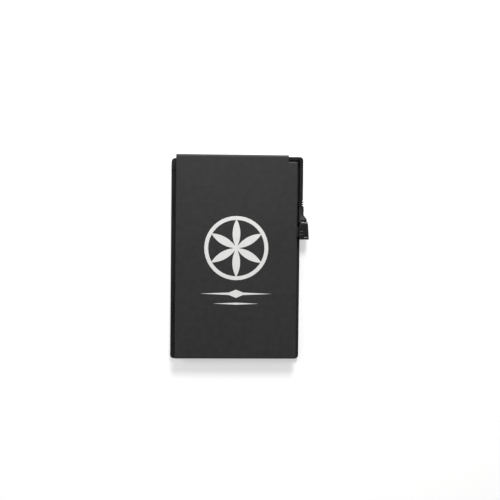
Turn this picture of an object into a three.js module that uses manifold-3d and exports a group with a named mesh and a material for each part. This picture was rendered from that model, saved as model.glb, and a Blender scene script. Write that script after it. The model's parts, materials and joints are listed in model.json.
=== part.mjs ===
// Stick-on card holder for the back of a phone, with a slim power unit and its flat charging lead.
// Millimetres. X runs right and Y up as seen with the holder on a phone, Z away from the phone.
// The origin is the middle of the face that sticks to the phone.
import * as THREE from "three";
import { mergeVertices } from "three/addons/utils/BufferGeometryUtils.js";
import Module from "manifold-3d";

const wasm = await Module();
wasm.setup();

// General fits
const FIT = 0.3; // clearance round a piece that passes through or sits beside another
const ROUND_STEPS = 3; // an arc in an outline has twice as many facets

// Adhesive pad and card pocket
const BASE_WIDTH = 63.0;
const BASE_HEIGHT = 98.0;
const BASE_CORNER = 1.8;
const BASE_EDGE = 0.4; // rounded edge of the tray
const PAD_THICKNESS = 0.8;
const PAD_MARGIN = 2.5;
const PAD_CORNER = 3.0;
const TRAY_FLOOR = 0.8;
const POCKET_HEIGHT = 1.8; // room for two cards
const BOND_TAPE = 0.2;
const TAPE_MARGIN = 0.8;
const TAPE_STRIP = 3.7; // width of the strip beside the pocket
const CARD_WIDTH = 54.0;
const CARD_LENGTH = 85.6;
const CARD_PLAY = 0.9; // at each end of the card
const CARD_SETBACK = 1.5; // from the tray's open edge to the edge of a card pushed home
const RIDGE_HEIGHT = 0.35; // low ridges that keep the card from sliding out
const RIDGE_WIDTH = 0.8;
const RIDGE_LENGTH = 12.0;
const RIDGE_OFFSET = 26.0;
const RIDGE_EDGE = 0.5;

// Power unit housing
const HOUSING_WIDTH = 58.6;
const HOUSING_HEIGHT = 98.7;
const HOUSING_THICKNESS = 7.6;
const HOUSING_RISE = 1.7; // its top stands above the top of the tray
const HOUSING_CORNER = 0.5;
const WALL = 1.2;
const BACK_WALL = 1.0;
const BACK_EDGE = 0.3;
const COVER_SIDE = 1.5;
const COVER_WALL = 1.2;
const FACE_EDGE = 0.25; // small bevel round the face
const TOP_BEVEL = 0.8; // larger bevel along the top of the face
const PARTING_EDGE = 0.15; // broken edge of each half, which leaves a fine groove between them
const TONGUE_DEPTH = 1.4;
const TONGUE_WALL = 0.8;
const TONGUE_GAP = 0.2;
const SNAP_LENGTH = 6.0; // hooks on the cover's tongue that catch in the shell's walls
const SNAP_CATCH = 0.3;
const SNAP_HEIGHT = 0.5;
const SNAP_DROP = 0.65; // below the parting line
const SNAP_ROOM = 0.2;
const SNAP_UP_SIDES = [0.25, 0.6]; // shares of the housing's height
const SNAP_ALONG_END = [0.25, 0.75]; // shares of its width

// Print on the face
const PRINT_THICKNESS = 0.04;
const PRINT_STEPS = 20; // twice as many facets in each arc of the print
const PETAL_STEPS = 5;
const PETALS = 6;
const PETAL_LENGTH = 14.0;
const RING_WIDTH = 1.5;
const HUB_RADIUS = 1.5;
const MEDALLION_RISE = 4.7; // its middle above the middle of the face
const RULE_LENGTH = 34.5;
const RULE_HALF_THICKNESS = 0.6;
const RULE_DROP = 17.4;
const LOZENGE_HALF_WIDTH = 3.4;
const LOZENGE_HALF_HEIGHT = 2.0;
const LINE_LENGTH = 22.0;
const LINE_HALF_THICKNESS = 0.5;
const LINE_DROP = 22.2;

// Corner notch and the flat lead
const NOTCH_WIDTH = 4.3;
const NOTCH_DEPTH = 3.2;
const NOTCH_ROUND = 0.8;
const SILL_BEVEL = 0.5; // along the floor of the notch, at the face
const LEAD_THICKNESS = 1.6;
const LEAD_WIDTH = 4.4;
const LEAD_EDGE = 0.4;
const ELBOW_CUT = 1.2; // flat across the outer corner of the elbow
const ELBOW_ROUND = 0.3; // inner corner of the elbow
const LEAD_COVER = 0.75; // the lead lies this far below the top of the housing
const LEAD_SIDE_GAP = 1.3; // between the housing and the lead beside it
const LEAD_RAISED = 0.4; // above the housing's inner floor
const LEAD_SLOT_PLAY = 0.15;
const COLLAR_LENGTH = 2.0; // moulded collar that keeps the lead from being pulled out
const COLLAR_GROWTH = 1.0;
const WIRE_RADIUS = 0.35;
const WIRE_PITCH = 0.85;
const WIRE_DROP = 0.5; // first wire's middle below the board's upper edge
const WIRE_ON_BOARD = 1.8;

// Plug at the end of the lead, its places measured down from the top of the housing
const NECK_DROP = 21.75;
const NECK_LENGTH = 2.85;
const NECK_RIBS = 3;
const RIB_DEPTH = 0.3;
const RIB_SLOPE = 0.24;
const NECK_CORNER = 0.4;
const GRIP_LENGTH = 6.9;
const GRIP_THICKNESS = 2.0;
const GRIP_WIDTH = 5.2;
const GRIP_CORNER = 0.6;
const FLARE_LENGTH = 2.1; // the grip widens over this length, up to the flange
const FLANGE_LENGTH = 0.7;
const FLANGE_THICKNESS = 3.45;
const FLANGE_WIDTH = 6.5;
const FLANGE_EDGE = 0.15;
const TIP_LENGTH = 7.0;
const TIP_THICKNESS = 2.4;
const TIP_WIDTH = 5.4;
const TIP_WALL = 0.3;
const TIP_CORNER = 0.8;
const RING_THICKNESS = 3.8; // steel ring that shows between grip and cap
const RING_STANDOFF = 0.4;
const RING_CORNER = 0.6;
const CONTACT_THICKNESS = 0.6;
const CAP_GAP = 1.6;
const CAP_LENGTH = 7.6;
const CAP_SIDE_GAP = 1.0; // between the housing and the cap
const CAP_THICKNESS = 5.0;
const CAP_WIDTH = 6.8;
const CAP_TAPER = 0.5; // the cap is this much thinner at its top
const CAP_EDGE = 0.2;
const CAP_CORNER = 0.6;
const CAP_BORE_GAP = 0.25;
const PANEL_ASIDE = 2.45; // raised panel on the cap's front, from the side that faces the housing
const PANEL_MARGIN = 0.4;
const PANEL_DROP = 0.5;
const PANEL_LENGTH = 5.4;
const PANEL_HEIGHT = 0.15;
const STUD_LENGTH = 0.55; // four grip studs beside the panel
const STUD_WIDTH = 0.4;
const STUD_HEIGHT = 0.25;
const STUD_ASIDES = [0.75, 1.65];
const STUD_DROPS = [3.65, 5.15];
const LIP_LENGTH = 1.95; // finger lip below the panel
const LIP_WIDTH = 0.65;
const LIP_DROP = 6.6;
const RAIL_REACH = 1.35; // rail on the housing that the cap hangs on
const RAIL_WIDTH = 2.4;
const RAIL_LENGTH = 5.0;

// Circuit board and what it carries
const BOARD_THICKNESS = 0.7;
const BOARD_LIFT = 0.4;
const BOARD_HEIGHT = 15.0;
const BOARD_SIDE_GAP = 0.7;
const BOARD_TOP_GAP = 0.5;
const BOARD_LEAD_GAP = 1.6;
const POST_RADIUS = 1.6;
const PIN_RADIUS = 0.7;
const PIN_HEIGHT = 0.8; // above the board
const POST_INSET = 2.4;
const CHIP_EDGE = 0.15;
const SOCKET_X = -16.0;
const SOCKET_WIDTH = 8.9;
const SOCKET_HEIGHT = 3.1;
const SOCKET_DEPTH = 7.4;
const SOCKET_WALL = 0.3;
const SOCKET_RECESS = 0.3;
const SOCKET_FIT = 0.2;
const SOCKET_BACK = 1.2;
const SOCKET_TONGUE_WIDTH = 6.6;
const SOCKET_TONGUE_THICKNESS = 0.7;
const SOCKET_TONGUE_REACH = 4.4;
const LED_COUNT = 4;
const LED_FIRST_X = -6.0;
const LED_PITCH = 3.0;
const LED_WIDTH = 1.6;
const LED_DEPTH = 0.8;
const LED_HEIGHT = 0.6;
const GUIDE_GAP = 0.2;
const GUIDE_BAR = 0.5;
const GUIDE_HEIGHT = 1.8;
const GUIDE_OVERHANG = 1.2;
const WINDOW_RADIUS = 0.6;
const WINDOW_RISE = 1.0; // above the board
const WINDOW_RECESS = 0.1;
const BUTTON_X = 9.5;
const BUTTON_WIDTH = 5.8;
const BUTTON_HEIGHT = 2.2;
const BUTTON_RISE = 1.2; // its middle above the board
const BUTTON_RECESS = 0.1;
const BUTTON_FLANGE = 0.8;
const BUTTON_LIP = 1.0; // the flange reaches this far past the button at each side
const SWITCH_WIDTH = 6.0;
const SWITCH_DEPTH = 3.0;
const SWITCH_HEIGHT = 2.4;
const SWITCH_GAP = 1.0; // from the flange to the switch
const PLUNGER_WIDTH = 2.4;
const PLUNGER_HEIGHT = 1.2;
const PLUNGER_SUNK = 0.7;
const PLUNGER_ROOM = 0.6;

// Power cell
const CELL_SIDE_GAP = 2.1;
const CELL_END_GAP = 1.3;
const CELL_BOARD_GAP = 1.4;
const CELL_THICKNESS = 4.0;
const CELL_CORNER = 1.6;
const CELL_EDGE = 0.9;
const CELL_PAD = 0.3;
const CELL_PAD_INSET = 8.0;
const TERRACE_LENGTH = 2.4;
const TERRACE_THICKNESS = 1.2;
const TERRACE_INSET = 2.0;
const CUSHION_INSET = 11.0;
const TAB_WIDTH = 3.0;
const TAB_THICKNESS = 0.2;
const TAB_ON_BOARD = 2.6;
const TAB_ASIDES = [8.0, 16.0]; // from the left side of the cell

// Places worked out from the sizes above
const base = {
  left: -BASE_WIDTH / 2,
  right: BASE_WIDTH / 2,
  bottom: -BASE_HEIGHT / 2,
  top: BASE_HEIGHT / 2,
};
const trayBottom = PAD_THICKNESS;
const pocketFloor = trayBottom + TRAY_FLOOR;
const housingBack = pocketFloor + POCKET_HEIGHT;
const trayTop = housingBack - BOND_TAPE;
const housing = {
  left: -HOUSING_WIDTH / 2,
  right: HOUSING_WIDTH / 2,
  bottom: base.top + HOUSING_RISE - HOUSING_HEIGHT,
  top: base.top + HOUSING_RISE,
};
const face = housingBack + HOUSING_THICKNESS;
const parting = face - COVER_SIDE;
const inner = grown(housing, -WALL);
const innerFloor = housingBack + BACK_WALL;
const innerCeiling = face - COVER_WALL;
const pocketEnd = base.left + CARD_SETBACK + CARD_WIDTH;
const pocketHalfLength = CARD_LENGTH / 2 + CARD_PLAY;
const notch = {
  left: housing.right - NOTCH_WIDTH,
  right: housing.right,
  bottom: housing.top - NOTCH_DEPTH,
  top: housing.top,
};
const leadMiddleY = housing.top - LEAD_COVER - LEAD_THICKNESS / 2;
const leadMiddleX = housing.right + LEAD_SIDE_GAP + LEAD_THICKNESS / 2;
const leadLow = innerFloor + LEAD_RAISED;
const leadMiddleZ = leadLow + LEAD_WIDTH / 2;
const leadEndX = notch.left - WALL - FIT - COLLAR_LENGTH;
const plugSide = housing.right + LEAD_SIDE_GAP; // side of the lead and the grip that faces the housing
const capSide = housing.right + CAP_SIDE_GAP;
const neckTop = housing.top - NECK_DROP;
const gripTop = neckTop - NECK_LENGTH;
const gripEnd = gripTop - GRIP_LENGTH;
const capTop = gripEnd - CAP_GAP;
const capEnd = capTop - CAP_LENGTH;
const tipX = capSide + CAP_THICKNESS / 2;
const tipEnd = gripEnd - TIP_LENGTH;
const railY = (capTop + capEnd) / 2;
const boardBack = innerFloor + BOARD_LIFT;
const boardTop = boardBack + BOARD_THICKNESS;
const board = {
  left: inner.left + BOARD_SIDE_GAP,
  right: leadEndX - BOARD_LEAD_GAP,
  bottom: inner.top - BOARD_TOP_GAP - BOARD_HEIGHT,
  top: inner.top - BOARD_TOP_GAP,
};
const socketMouth = housing.top - SOCKET_RECESS;
const windowZ = boardTop + WINDOW_RISE;
const guideFront = inner.top - FIT;
const buttonZ = boardTop + BUTTON_RISE;
const flangeFront = inner.top - FIT;
const flangeBack = flangeFront - BUTTON_FLANGE;
const switchFront = flangeBack - SWITCH_GAP;
const cell = {
  left: inner.left + CELL_SIDE_GAP,
  right: inner.right - CELL_SIDE_GAP,
  bottom: inner.bottom + CELL_END_GAP,
  top: board.bottom - CELL_BOARD_GAP - TERRACE_LENGTH,
};
const cellBack = innerFloor + CELL_PAD;
const cellFront = cellBack + CELL_THICKNESS;

// Finishes
const finish = (color, roughness, metalness = 0) =>
  new THREE.MeshStandardMaterial({ color, roughness, metalness });
const coatedGrey = finish(0x3b3b3d, 0.62);
const blackPlastic = finish(0x222224, 0.6);
const softBlack = finish(0x202022, 0.75);
const acrylicPad = finish(0x2c2c2e, 0.9);
const steel = finish(0xb9bbbe, 0.3, 1);
const nickel = finish(0xc8c6c0, 0.35, 1);
const foil = finish(0xb4b6ba, 0.38, 1);
const foam = finish(0x3a3a3c, 0.95);
const boardGreen = finish(0x1f5b3c, 0.5);
const chipBlack = finish(0x17171a, 0.5);
const ferrite = finish(0x4a4a4e, 0.7);
const capacitorTan = finish(0xa98a63, 0.6);
const printWhite = finish(0xe9e9e8, 0.5);
const clearGuide = finish(0xd9dfe2, 0.2);
const ledWhite = finish(0xf1efdf, 0.4);
const contactCarrier = finish(0x2a2a2c, 0.5);

const holder = new THREE.Group();

// Rectangle with each side moved outwards by the amount.
function grown(rect, amount) {
  return {
    left: rect.left - amount,
    right: rect.right + amount,
    bottom: rect.bottom - amount,
    top: rect.top + amount,
  };
}

// Rectangle round a middle point.
function centred(x, y, width, height) {
  return { left: x - width / 2, right: x + width / 2, bottom: y - height / 2, top: y + height / 2 };
}

// Points of a rectangle with round corners, anticlockwise; a zero corner gives four points.
function outline(rect, corner) {
  if (corner <= 0) {
    return [
      new THREE.Vector2(rect.left, rect.bottom),
      new THREE.Vector2(rect.right, rect.bottom),
      new THREE.Vector2(rect.right, rect.top),
      new THREE.Vector2(rect.left, rect.top),
    ];
  }
  const quarter = Math.PI / 2;
  const shape = new THREE.Shape();
  shape.moveTo(rect.left + corner, rect.bottom);
  shape.absarc(rect.right - corner, rect.bottom + corner, corner, -quarter, 0, false);
  shape.absarc(rect.right - corner, rect.top - corner, corner, 0, quarter, false);
  shape.absarc(rect.left + corner, rect.top - corner, corner, quarter, 2 * quarter, false);
  shape.absarc(rect.left + corner, rect.bottom + corner, corner, 2 * quarter, 3 * quarter, false);
  const points = shape.getPoints(ROUND_STEPS);
  return points.filter((point, i) => point.distanceTo(points[(i + 1) % points.length]) > 1e-4);
}

// Closed solid through rounded rectangles stacked along Z, lowest first.
// Each level is { rect, z, corner }, and all have round corners or none has.
function loft(levels) {
  const rings = levels.map((level) => outline(level.rect, level.corner));
  const count = rings[0].length;
  const positions = [];
  rings.forEach((ring, k) => ring.forEach((point) => positions.push(point.x, point.y, levels[k].z)));
  const faces = [];
  for (let k = 0; k < rings.length - 1; k++) {
    for (let i = 0; i < count; i++) {
      const next = (i + 1) % count;
      const [a, b] = [k * count + i, k * count + next];
      const [c, d] = [a + count, b + count];
      faces.push(a, b, d, a, d, c);
    }
  }
  const last = (rings.length - 1) * count;
  THREE.ShapeUtils.triangulateShape(rings[0], []).forEach(([a, b, c]) => faces.push(c, b, a));
  THREE.ShapeUtils.triangulateShape(rings[rings.length - 1], []).forEach(([a, b, c]) =>
    faces.push(last + a, last + b, last + c),
  );
  const geometry = new THREE.BufferGeometry();
  geometry.setAttribute("position", new THREE.Float32BufferAttribute(positions, 3));
  geometry.setIndex(faces);
  return geometry;
}

// Straight slab of a rounded rectangle between two heights.
const slab = (rect, low, high, corner = 0) =>
  loft([
    { rect, z: low, corner },
    { rect, z: high, corner },
  ]);

// Slab whose upper and lower edges are broken by a small bevel.
const softSlab = (rect, low, high, corner, edge) =>
  loft([
    { rect: grown(rect, -edge), z: low, corner: Math.max(corner - edge, 0.1) },
    { rect, z: low + edge, corner },
    { rect, z: high - edge, corner },
    { rect: grown(rect, -edge), z: high, corner: Math.max(corner - edge, 0.1) },
  ]);

// Turns a solid built along +Z so that it runs along -Y, from the place y, with its section in X and Z.
const pointedDown = (geometry, y) => geometry.rotateX(Math.PI / 2).translate(0, y, 0);

// Upright round bar.
const peg = (x, y, radius, low, high) =>
  new THREE.CylinderGeometry(radius, radius, high - low, 4 * ROUND_STEPS)
    .rotateX(Math.PI / 2)
    .translate(x, y, (low + high) / 2);

// Round bar along Y.
const barAlongY = (x, z, radius, low, high) =>
  new THREE.CylinderGeometry(radius, radius, high - low, 4 * ROUND_STEPS).translate(x, (low + high) / 2, z);

// Geometry as a solid that can be joined and cut.
function solid(geometry) {
  const bare = geometry.clone();
  bare.deleteAttribute("normal");
  bare.deleteAttribute("uv");
  const merged = mergeVertices(bare, 1e-4);
  return new wasm.Manifold(
    new wasm.Mesh({
      numProp: 3,
      vertProperties: new Float32Array(merged.attributes.position.array),
      triVerts: new Uint32Array(merged.index.array),
    }),
  );
}

// Solid back as a geometry.
function geometryOf(body) {
  const mesh = body.getMesh();
  const geometry = new THREE.BufferGeometry();
  geometry.setAttribute("position", new THREE.BufferAttribute(mesh.vertProperties, 3));
  geometry.setIndex(new THREE.BufferAttribute(mesh.triVerts, 1));
  geometry.computeVertexNormals();
  return geometry;
}

const joined = (first, ...others) => others.reduce((body, other) => body.add(solid(other)), first);
const cut = (first, ...others) => others.reduce((body, other) => body.subtract(solid(other)), first);

function add(name, shape, material) {
  const geometry = shape.isBufferGeometry ? shape : geometryOf(shape);
  const mesh = new THREE.Mesh(geometry, material);
  mesh.name = name;
  holder.add(mesh);
}

// Adhesive pad, the face that sticks to the phone.
function adhesivePad() {
  add("adhesive_pad", slab(grown(base, -PAD_MARGIN), 0, trayBottom, PAD_CORNER), acrylicPad);
}

// Tray of the card pocket: a floor with a wall at the top, the bottom and the right, open at the left.
function pocketTray() {
  const pocket = {
    left: base.left - 1,
    right: pocketEnd,
    bottom: -pocketHalfLength,
    top: pocketHalfLength,
  };
  const ridge = (y) => {
    const foot = centred(base.left + RIDGE_EDGE + RIDGE_WIDTH / 2, y, RIDGE_WIDTH, RIDGE_LENGTH);
    return loft([
      { rect: foot, z: pocketFloor - TRAY_FLOOR / 2, corner: 0 },
      { rect: foot, z: pocketFloor, corner: 0 },
      { rect: grown(foot, -RIDGE_WIDTH / 4), z: pocketFloor + RIDGE_HEIGHT, corner: 0 },
    ]);
  };
  const block = solid(softSlab(base, trayBottom, trayTop, BASE_CORNER, BASE_EDGE));
  const tray = cut(block, slab(pocket, pocketFloor, trayTop + 1, 1.0));
  add("pocket_tray", joined(tray, ridge(-RIDGE_OFFSET), ridge(RIDGE_OFFSET)), blackPlastic);
}

// Thin tape that bonds the housing to the three walls of the tray.
function bondTape() {
  const outer = {
    left: housing.left + TAPE_MARGIN,
    right: housing.right - TAPE_MARGIN,
    bottom: housing.bottom + TAPE_MARGIN,
    top: base.top - BASE_EDGE - TAPE_MARGIN,
  };
  const opening = {
    left: outer.left - 1,
    right: outer.right - TAPE_STRIP,
    bottom: -pocketHalfLength - TAPE_MARGIN,
    top: pocketHalfLength + TAPE_MARGIN,
  };
  const tape = cut(solid(slab(outer, trayTop, housingBack)), slab(opening, trayTop - 1, housingBack + 1));
  add("bond_tape", tape, acrylicPad);
}

// The notch in the top right corner, where the lead comes out; its lower lip is rounded for the lead.
function notchCut() {
  const reach = 1;
  const shape = new THREE.Shape();
  shape.moveTo(notch.left, notch.bottom);
  shape.lineTo(notch.right - NOTCH_ROUND, notch.bottom);
  shape.absarc(notch.right - NOTCH_ROUND, notch.bottom - NOTCH_ROUND, NOTCH_ROUND, Math.PI / 2, 0, true);
  shape.lineTo(notch.right + reach, notch.bottom - NOTCH_ROUND);
  shape.lineTo(notch.right + reach, notch.top + reach);
  shape.lineTo(notch.left, notch.top + reach);
  const depth = HOUSING_THICKNESS + 2 * reach;
  const block = new THREE.ExtrudeGeometry(shape, { depth, bevelEnabled: false, curveSegments: ROUND_STEPS });
  return block.translate(0, 0, housingBack - reach);
}

// Room inside the walls between two heights, which leaves the notch its own walls.
function cavity(low, high, inset = 0) {
  const room = solid(slab(grown(inner, -inset), low, high));
  const kept = { left: notch.left - WALL, right: notch.right, bottom: notch.bottom - WALL, top: notch.top };
  return room.subtract(solid(slab(grown(kept, inset), low - 1, high + 1)));
}

const snapYs = SNAP_UP_SIDES.map((share) => housing.bottom + share * HOUSING_HEIGHT);
const snapXs = SNAP_ALONG_END.map((share) => housing.left + share * HOUSING_WIDTH);
const snaps = [
  ...snapYs.map((y) => ({ x: inner.left, y, out: [-1, 0] })),
  ...snapYs.map((y) => ({ x: inner.right, y, out: [1, 0] })),
  ...snapXs.map((x) => ({ x, y: inner.bottom, out: [0, -1] })),
];

// Block at a snap hook, from a depth inside the inner face of the wall to one past it, with room round it.
function snapBlock({ x, y, out }, inside, past, room) {
  const half = SNAP_LENGTH / 2 + room;
  const high = parting - SNAP_DROP;
  const ends = [-inside, past].map((reach) => ({ x: x + out[0] * reach, y: y + out[1] * reach }));
  const rect = {
    left: Math.min(ends[0].x, ends[1].x) - Math.abs(out[1]) * half,
    right: Math.max(ends[0].x, ends[1].x) + Math.abs(out[1]) * half,
    bottom: Math.min(ends[0].y, ends[1].y) - Math.abs(out[0]) * half,
    top: Math.max(ends[0].y, ends[1].y) + Math.abs(out[0]) * half,
  };
  return slab(rect, high - SNAP_HEIGHT - room, high + room);
}

const postPlaces = [
  [board.left + POST_INSET, board.bottom + POST_INSET],
  [board.right - POST_INSET, board.bottom + POST_INSET],
  [board.left + POST_INSET, board.top - POST_INSET],
  [board.right - POST_INSET, board.top - POST_INSET],
];

// Rear shell of the power unit: side walls, board posts, snap pockets, openings and the rail for the cap.
function rearShell() {
  const block = loft([
    { rect: grown(housing, -BACK_EDGE), z: housingBack, corner: HOUSING_CORNER },
    { rect: housing, z: housingBack + BACK_EDGE, corner: HOUSING_CORNER },
    { rect: housing, z: parting - PARTING_EDGE, corner: HOUSING_CORNER },
    { rect: grown(housing, -PARTING_EDGE), z: parting, corner: HOUSING_CORNER },
  ]);
  const rail = {
    left: housing.right - WALL / 2,
    right: housing.right + RAIL_REACH,
    bottom: railY - RAIL_LENGTH / 2,
    top: railY + RAIL_LENGTH / 2,
  };
  const leadSlot = {
    left: leadEndX - FIT,
    right: notch.left + 1,
    bottom: leadMiddleY - LEAD_THICKNESS / 2 - FIT,
    top: leadMiddleY + LEAD_THICKNESS / 2 + LEAD_SLOT_PLAY,
  };
  const topWall = [inner.top - 0.5, housing.top + 1];
  const mouthWidth = SOCKET_WIDTH + 2 * SOCKET_FIT;
  const mouth = centred(SOCKET_X, (topWall[0] + topWall[1]) / 2, mouthWidth, topWall[1] - topWall[0]);
  const buttonHole = centred(
    BUTTON_X,
    (topWall[0] + topWall[1]) / 2,
    BUTTON_WIDTH + 2 * FIT,
    topWall[1] - topWall[0],
  );
  const windows = ledXs.map((x) => barAlongY(x, windowZ, WINDOW_RADIUS + FIT, ...topWall));
  const posts = postPlaces.flatMap(([x, y]) => [
    peg(x, y, POST_RADIUS, innerFloor - BACK_WALL / 2, boardBack),
    peg(x, y, PIN_RADIUS, innerFloor, boardTop + PIN_HEIGHT),
  ]);
  let shell = cut(solid(block), notchCut());
  shell = shell.subtract(cavity(innerFloor, parting + 1));
  shell = joined(
    shell,
    slab(rail, leadMiddleZ - RAIL_WIDTH / 2, leadMiddleZ + RAIL_WIDTH / 2),
    ...posts,
  );
  shell = cut(
    shell,
    slab(leadSlot, leadLow - FIT, parting + 1),
    slab(mouth, boardTop - SOCKET_FIT, boardTop + SOCKET_HEIGHT + SOCKET_FIT),
    slab(buttonHole, buttonZ - BUTTON_HEIGHT / 2 - FIT, buttonZ + BUTTON_HEIGHT / 2 + FIT),
    ...windows,
    ...snaps.map((snap) => snapBlock(snap, SNAP_ROOM / 2, SNAP_CATCH + SNAP_ROOM, SNAP_ROOM)),
  );
  add("rear_shell", shell, coatedGrey);
}

// Front cover: the plain face, a larger bevel along its top and a hooked tongue inside the shell's walls.
function frontCover() {
  const bevelStart = face - TOP_BEVEL;
  const edgeStart = face - FACE_EDGE;
  const shoulder = { ...housing, top: housing.top - (edgeStart - bevelStart) };
  const front = { ...grown(housing, -FACE_EDGE), top: housing.top - TOP_BEVEL };
  const plate = loft([
    { rect: grown(housing, -PARTING_EDGE), z: parting, corner: HOUSING_CORNER },
    { rect: housing, z: parting + PARTING_EDGE, corner: HOUSING_CORNER },
    { rect: housing, z: bevelStart, corner: HOUSING_CORNER },
    { rect: shoulder, z: edgeStart, corner: HOUSING_CORNER },
    { rect: front, z: face, corner: HOUSING_CORNER },
  ]);
  const tongueLow = parting - TONGUE_DEPTH;
  const tongue = cavity(tongueLow, innerCeiling + 0.1, TONGUE_GAP).subtract(
    cavity(tongueLow - 1, innerCeiling + 1, TONGUE_GAP + TONGUE_WALL),
  );
  const clearOfBoard = { left: inner.left - 1, right: inner.right + 1, bottom: board.bottom, top: inner.top };
  const sill = { left: notch.left, right: notch.right + 1, bottom: notch.bottom, top: notch.bottom + 1 };
  const wideSill = { ...sill, bottom: notch.bottom - SILL_BEVEL };
  const sillCut = loft([
    { rect: sill, z: face - SILL_BEVEL, corner: 0 },
    { rect: wideSill, z: face, corner: 0 },
    { rect: wideSill, z: face + 1, corner: 0 },
  ]);
  let cover = cut(solid(plate), notchCut(), sillCut);
  cover = cover.subtract(cavity(parting - 1, innerCeiling));
  const threeSides = cut(tongue, slab(clearOfBoard, tongueLow - 1, innerCeiling));
  const hooks = snaps.map((snap) => snapBlock(snap, TONGUE_GAP + TONGUE_WALL / 2, SNAP_CATCH, 0));
  add("front_cover", joined(cover.add(threeSides), ...hooks), coatedGrey);
}

// A thin layer of ink on the face, from a shape and its middle.
function ink(shape, x, y, steps = PRINT_STEPS) {
  const settings = { depth: PRINT_THICKNESS, bevelEnabled: false, curveSegments: steps };
  return new THREE.ExtrudeGeometry(shape, settings).translate(x, y, face);
}

// Petal from the middle of the medallion out to its ring: two arcs, each a sixth of a circle.
function petal(angle) {
  const sixth = Math.PI / 3;
  const shape = new THREE.Shape();
  const centre = (turn) => [Math.cos(angle + turn) * PETAL_LENGTH, Math.sin(angle + turn) * PETAL_LENGTH];
  const below = angle - sixth + Math.PI;
  const above = angle + sixth + Math.PI;
  shape.absarc(...centre(sixth), PETAL_LENGTH, above, above + sixth, false);
  shape.absarc(...centre(-sixth), PETAL_LENGTH, below - sixth, below, false);
  return shape;
}

// Print: a six-petal medallion in a ring, with a lozenge rule and a short line below it.
function facePrint() {
  const [x, y] = [0, (housing.bottom + housing.top - TOP_BEVEL) / 2];
  const ring = new THREE.Shape();
  ring.absarc(0, 0, PETAL_LENGTH + RING_WIDTH, 0, 2 * Math.PI, false);
  const opening = new THREE.Path();
  opening.absarc(0, 0, PETAL_LENGTH - RING_WIDTH / 4, 0, 2 * Math.PI, true);
  ring.holes.push(opening);
  const hub = new THREE.Shape();
  hub.absarc(0, 0, HUB_RADIUS, 0, 2 * Math.PI, false);
  const medallionY = y + MEDALLION_RISE;
  const petals = Array.from({ length: PETALS }, (_, i) => petal(Math.PI / 2 + (i * 2 * Math.PI) / PETALS));
  const medallionParts = [
    ink(hub, x, medallionY, 2 * ROUND_STEPS),
    ...petals.map((shape) => ink(shape, x, medallionY, PETAL_STEPS)),
  ];
  add("print_medallion", joined(solid(ink(ring, x, medallionY)), ...medallionParts), printWhite);
  const rule = new THREE.Shape();
  rule.moveTo(-RULE_LENGTH / 2, 0);
  rule.lineTo(-LOZENGE_HALF_WIDTH, -RULE_HALF_THICKNESS);
  rule.lineTo(0, -LOZENGE_HALF_HEIGHT);
  rule.lineTo(LOZENGE_HALF_WIDTH, -RULE_HALF_THICKNESS);
  rule.lineTo(RULE_LENGTH / 2, 0);
  rule.lineTo(LOZENGE_HALF_WIDTH, RULE_HALF_THICKNESS);
  rule.lineTo(0, LOZENGE_HALF_HEIGHT);
  rule.lineTo(-LOZENGE_HALF_WIDTH, RULE_HALF_THICKNESS);
  add("print_rule", ink(rule, x, y - RULE_DROP), printWhite);
  const line = new THREE.Shape();
  line.moveTo(-LINE_LENGTH / 2, 0);
  line.lineTo(0, -LINE_HALF_THICKNESS);
  line.lineTo(LINE_LENGTH / 2, 0);
  line.lineTo(0, LINE_HALF_THICKNESS);
  add("print_line", ink(line, x, y - LINE_DROP), printWhite);
}

// Flat lead: from inside the housing through the notch, round the corner and down the side to the plug.
function chargingLead() {
  const half = LEAD_THICKNESS / 2;
  const start = leadEndX + COLLAR_LENGTH / 4;
  const roundX = leadMiddleX - half - ELBOW_ROUND;
  const roundY = leadMiddleY - half - ELBOW_ROUND;
  const strip = new THREE.Shape();
  strip.moveTo(start, leadMiddleY - half);
  strip.lineTo(roundX, leadMiddleY - half);
  strip.absarc(roundX, roundY, ELBOW_ROUND, Math.PI / 2, 0, true);
  strip.lineTo(leadMiddleX - half, neckTop);
  strip.lineTo(leadMiddleX + half, neckTop);
  strip.lineTo(leadMiddleX + half, leadMiddleY + half - ELBOW_CUT);
  strip.lineTo(leadMiddleX + half - ELBOW_CUT, leadMiddleY + half);
  strip.lineTo(start, leadMiddleY + half);
  const ribbon = new THREE.ExtrudeGeometry(strip, {
    depth: LEAD_WIDTH - 2 * LEAD_EDGE,
    bevelThickness: LEAD_EDGE,
    bevelSize: LEAD_EDGE,
    bevelOffset: -LEAD_EDGE,
    bevelSegments: 3,
    curveSegments: ROUND_STEPS,
  }).translate(0, 0, leadLow + LEAD_EDGE);
  const collar = {
    left: leadEndX,
    right: leadEndX + COLLAR_LENGTH,
    bottom: leadMiddleY - half - COLLAR_GROWTH,
    top: leadMiddleY,
  };
  const block = slab(collar, leadLow - LEAD_RAISED, leadLow + LEAD_WIDTH - LEAD_EDGE);
  add("charging_lead", joined(solid(ribbon), block), softBlack);
}

// Two wires from the collar of the lead to the board, lying on it.
function leadWires() {
  [0, 1].forEach((i) => {
    const [from, to] = [board.right - WIRE_ON_BOARD, leadEndX];
    const wire = new THREE.CylinderGeometry(WIRE_RADIUS, WIRE_RADIUS, to - from, 4 * ROUND_STEPS)
      .rotateZ(Math.PI / 2)
      .translate((from + to) / 2, board.top - WIRE_DROP - i * WIRE_PITCH, boardTop + WIRE_RADIUS);
    add("lead_wire_" + (i + 1), wire, softBlack);
  });
}

// Section of a piece at the plug: its left side faces the housing and it is centred on the lead in Z.
const plugSection = (left, thickness, width) => ({
  left,
  right: left + thickness,
  bottom: leadMiddleZ - width / 2,
  top: leadMiddleZ + width / 2,
});

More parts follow.
